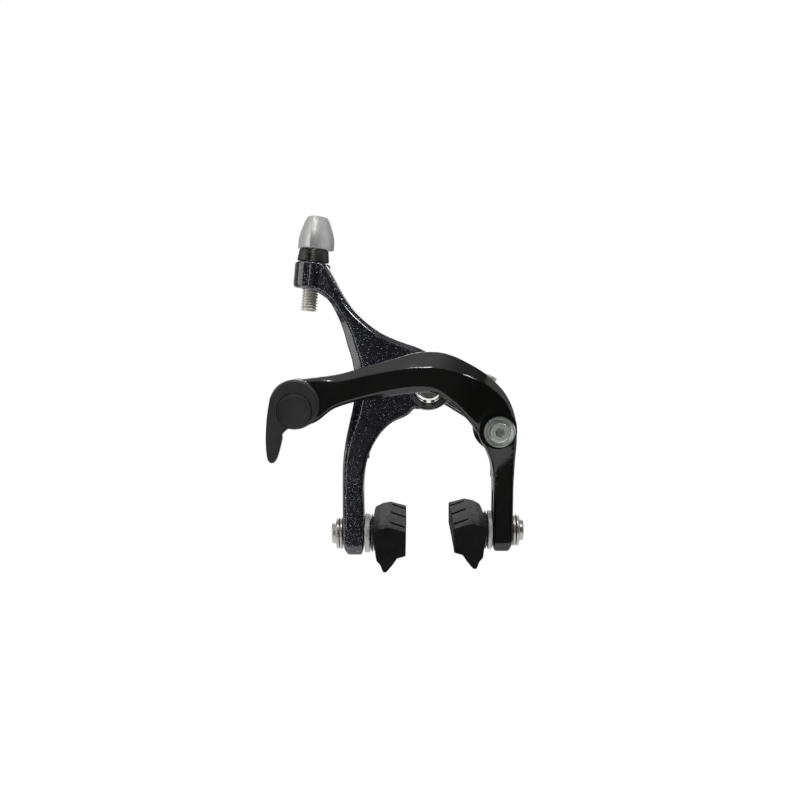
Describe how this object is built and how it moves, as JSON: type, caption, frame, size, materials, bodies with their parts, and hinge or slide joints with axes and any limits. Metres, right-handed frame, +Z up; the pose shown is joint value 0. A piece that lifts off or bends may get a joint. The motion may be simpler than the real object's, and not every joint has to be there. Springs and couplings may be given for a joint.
{
  "type": "rim brake caliper",
  "caption": "Dual-pivot side-pull bicycle rim brake caliper with forged arms, quick release lever, cable adjuster and rubber pads on slotted legs.",
  "frame": {"origin": "on the mounting bolt's axis, in the face of the seat washer that meets the fork or frame", "axes": "+Y along the mounting bolt into the fork, +Z up, +X to the right seen from in front; the caliper lies at negative Y"},
  "size_m": [0.0885, 0.08, 0.1217],
  "materials": {
    "chrome": "polished chrome plate",
    "steel": "zinc-plated steel",
    "gloss_black": "gloss black paint on forged aluminium",
    "flake_black": "gloss black paint with fine metal flake on forged aluminium",
    "satin_grey": "satin dark grey coat",
    "satin_silver": "satin silver",
    "blasted_grey": "bead-blasted grey",
    "dark_washer": "dark phosphated steel",
    "nylon": "matt black nylon",
    "rubber": "matt black rubber"
  },
  "bodies": {
    "base": {"mounting_bolt": "chrome", "sleeve_nut": "steel", "pivot_bracket": "gloss_black", "seat_washer": "steel", "centre_slide_washer": "nylon", "centre_front_washer": "steel", "centre_bush": "nylon", "side_slide_washer": "nylon", "side_bush": "nylon", "side_pivot_bolt": "chrome", "return_spring": "steel"},
    "y_arm": {"y_arm": "flake_black", "adjuster_collar": "satin_grey", "spring_slider_left": "nylon"},
    "adjuster_cap": {"adjuster_cap": "satin_silver"},
    "adjuster_stem": {"adjuster_stem": "steel"},
    "c_arm": {"c_arm": "gloss_black", "spring_slider_right": "nylon"},
    "centering_screw": {"centering_screw": "steel"},
    "quick_release": {"quick_release_lever": "satin_grey", "lever_cover": "satin_grey", "cam_shaft": "steel", "cable_clamp_plate": "steel"},
    "clamp_bolt": {"cable_clamp_bolt": "steel"},
    "pad_carrier_left": {"convex_washer_left": "dark_washer", "concave_washer_left": "blasted_grey", "outer_washer_left": "steel", "pad_nut_left": "steel"},
    "pad_carrier_right": {"convex_washer_right": "dark_washer", "concave_washer_right": "blasted_grey", "outer_washer_right": "steel", "pad_nut_right": "steel"},
    "brake_pad_left": {"pad_left": "rubber", "pad_post_left": "steel"},
    "brake_pad_right": {"pad_right": "rubber", "pad_post_right": "steel"}
  },
  "joints": [
    {"name": "y_arm_pivot", "type": "hinge", "parent": "base", "child": "y_arm", "pos_m": [0, -0.0147, 0], "axis": [0, -1, 0], "range_deg": [0, 7.5], "stiffness_Nm_per_rad": 0.9, "springref_deg": -20.05, "deforming": ["return_spring"]},
    {"name": "c_arm_pivot", "type": "hinge", "parent": "base", "child": "c_arm", "pos_m": [0.0244, -0.018, -0.0151], "axis": [0, 1, 0], "range_deg": [0, 10.66], "deforming": ["return_spring"]},
    {"name": "stem_slide", "type": "slide", "parent": "y_arm", "child": "adjuster_stem", "axis": [0.0924, 0, 0.9957], "range_m": [-0.002, 0.003]},
    {"name": "adjuster_turn", "type": "hinge", "parent": "y_arm", "child": "adjuster_cap", "pos_m": [-0.0427, -0.0145, 0.0272], "axis": [0.0924, 0, 0.9957], "range_deg": [-727, 1090]},
    {"name": "centering_screw_turn", "type": "hinge", "parent": "c_arm", "child": "centering_screw", "pos_m": [0.01565, -0.0175, -0.00663], "axis": [0.5262, 0, 0.8503], "range_deg": [-360, 360]},
    {"name": "quick_release_turn", "type": "hinge", "parent": "c_arm", "child": "quick_release", "pos_m": [-0.0454, -0.02, -0.005], "axis": [0, 1, 0], "range_deg": [0, 150]},
    {"name": "clamp_bolt_turn", "type": "hinge", "parent": "quick_release", "child": "clamp_bolt", "pos_m": [-0.0454, -0.0145, -0.007], "axis": [0, 1, 0], "continuous": true},
    {"name": "pad_slide_left", "type": "slide", "parent": "y_arm", "child": "pad_carrier_left", "axis": [0, 0, 1], "range_m": [0, 0.012]},
    {"name": "pad_turn_left", "type": "hinge", "parent": "pad_carrier_left", "child": "brake_pad_left", "pos_m": [-0.0194, -0.019, -0.0516], "axis": [1, 0, 0], "range_deg": [-10, 10]},
    {"name": "pad_slide_right", "type": "slide", "parent": "c_arm", "child": "pad_carrier_right", "axis": [0, 0, 1], "range_m": [0, 0.012]},
    {"name": "pad_turn_right", "type": "hinge", "parent": "pad_carrier_right", "child": "brake_pad_right", "pos_m": [0.0194, -0.019, -0.0504], "axis": [1, 0, 0], "range_deg": [-10, 10]}
  ],
  "couplings": [
    {"joint": "c_arm_pivot", "follows": "y_arm_pivot", "ratio": 1.42},
    {"joint": "adjuster_turn", "follows": "stem_slide", "rad_per_m": 6283.2}
  ]
}
